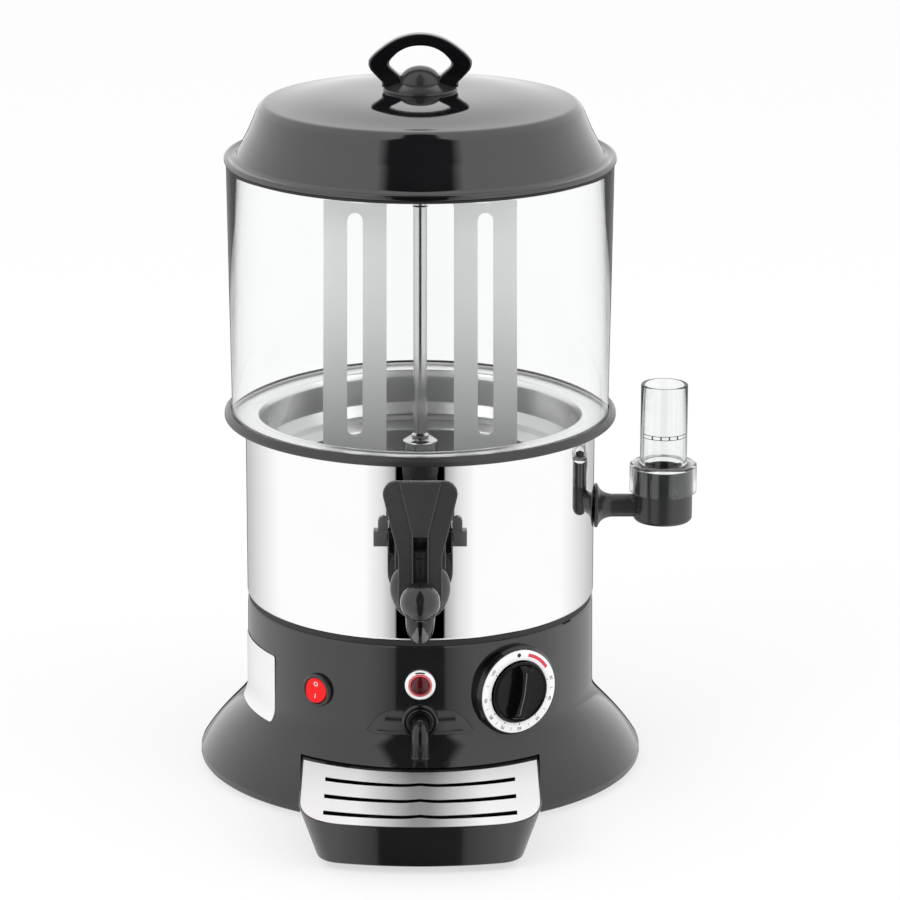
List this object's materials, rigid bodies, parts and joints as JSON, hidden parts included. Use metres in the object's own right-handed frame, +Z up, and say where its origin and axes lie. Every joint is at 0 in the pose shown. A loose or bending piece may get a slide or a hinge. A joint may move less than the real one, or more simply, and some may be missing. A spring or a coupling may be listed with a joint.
{
  "type": "hot chocolate dispenser",
  "caption": "Countertop hot chocolate dispenser: clear bowl with a driven stirrer over a water-jacketed steel pan, flared base, sprung tap, drip tray, level gauge and dial.",
  "frame": {"origin": "centre of the base plate's underside, on the machine's vertical axis, level with the skirt's lower edge; the rubber feet reach 4 mm below it", "axes": "+Z up, -Y the front with tap and tray, +X the side with the water gauge, which is the picture's right-hand side"},
  "size_m": [0.3589, 0.409, 0.5324],
  "materials": {
    "body_black": "glossy, deep black",
    "lid_black": "glossy, black",
    "fitting_black": "semi-gloss moulded black",
    "mirror_steel": "polished to a mirror",
    "steel": "fine satin",
    "seal_rubber": "matt",
    "motor_metal": "cast, matt",
    "brass": "turned",
    "label_white": "matt white",
    "signal_red": "translucent glossy red",
    "lens_red": "translucent dark red",
    "clear_plastic": "clear, polished"
  },
  "bodies": {
    "machine": {"base_shell": "body_black", "base_plate": "steel", "foot_front_left": "seal_rubber", "foot_front_right": "seal_rubber", "foot_rear_left": "seal_rubber", "foot_rear_right": "seal_rubber", "seam_ring": "seal_rubber", "water_tank": "mirror_steel", "standpipe": "steel", "shaft_seal": "seal_rubber", "inner_pot": "steel", "trim_ring": "body_black", "bowl_gasket": "seal_rubber", "clear_bowl": "clear_plastic", "motor_bracket": "steel", "gearbox": "motor_metal", "drive_motor": "motor_metal", "heating_element": "steel", "thermal_cutout": "fitting_black", "terminal_block": "label_white", "drain_pipe": "seal_rubber", "tap_body": "fitting_black", "tap_gasket": "seal_rubber", "tap_sleeve": "seal_rubber", "tap_nut": "brass", "tap_cap": "fitting_black", "tap_spring": "steel", "tap_pin": "fitting_black", "gauge_cup": "fitting_black", "gauge_nut": "brass", "gauge_tube": "clear_plastic", "dial_bezel": "body_black", "dial_scale_ring": "label_white", "thermostat_body": "label_white", "switch_housing": "fitting_black", "lamp_bezel": "label_white", "lamp_lens": "lens_red", "drain_body": "fitting_black", "cable_gland": "seal_rubber"},
    "lid": {"lid_shell": "lid_black", "lid_seal": "seal_rubber", "lid_knob": "lid_black", "lid_screw": "steel"},
    "stirrer": {"drive_shaft": "steel", "stirrer_hub": "steel", "stirrer_shaft": "steel", "stirrer_paddle_left": "steel", "stirrer_paddle_right": "steel", "stirrer_collar": "fitting_black", "stirrer_crossbar": "steel", "stirrer_cap": "fitting_black"},
    "tap_handle": {"tap_lever": "fitting_black", "tap_ball": "fitting_black"},
    "tap_valve": {"tap_plunger": "fitting_black"},
    "dial": {"dial_knob": "fitting_black", "thermostat_spindle": "steel"},
    "rocker": {"power_rocker": "signal_red"},
    "tray": {"drip_tray": "body_black"},
    "grille": {"tray_grille": "steel"},
    "spout": {"drain_spout": "fitting_black"}
  },
  "joints": [
    {"name": "lid_lift", "type": "slide", "parent": "machine", "child": "lid", "axis": [0, 0, 1], "range_m": [0, 0.1]},
    {"name": "stirrer_turn", "type": "hinge", "parent": "machine", "child": "stirrer", "pos_m": [0, 0, 0.24], "axis": [0, 0, 1], "continuous": true},
    {"name": "tap_tilt", "type": "hinge", "parent": "machine", "child": "tap_handle", "pos_m": [0, -0.148, 0.206], "axis": [-1, 0, 0], "range_deg": [0, 25], "stiffness_Nm_per_rad": 0.5, "springref_deg": -11.46},
    {"name": "valve_lift", "type": "slide", "parent": "machine", "child": "tap_valve", "axis": [0, 0, 1], "range_m": [0, 0.0053], "deforming": ["tap_spring"]},
    {"name": "dial_turn", "type": "hinge", "parent": "machine", "child": "dial", "pos_m": [0.07094, -0.11486, 0.0815], "axis": [-0.5255, 0.8508, 0], "range_deg": [0, 300]},
    {"name": "rocker_tilt", "type": "hinge", "parent": "machine", "child": "rocker", "pos_m": [-0.07306, -0.10204, 0.08], "axis": [0.8131, -0.5821, 0], "range_deg": [0, 14]},
    {"name": "tray_draw", "type": "slide", "parent": "machine", "child": "tray", "axis": [0, -1, 0], "range_m": [0, 0.13]},
    {"name": "grille_lift", "type": "slide", "parent": "tray", "child": "grille", "axis": [0, 0, 1], "range_m": [0, 0.01]},
    {"name": "spout_turn", "type": "hinge", "parent": "machine", "child": "spout", "pos_m": [0, -0.13, 0.0646], "axis": [0, -1, 0], "range_deg": [-90, 90]}
  ],
  "couplings": [
    {"joint": "valve_lift", "follows": "tap_tilt", "m_per_rad": 0.012}
  ]
}
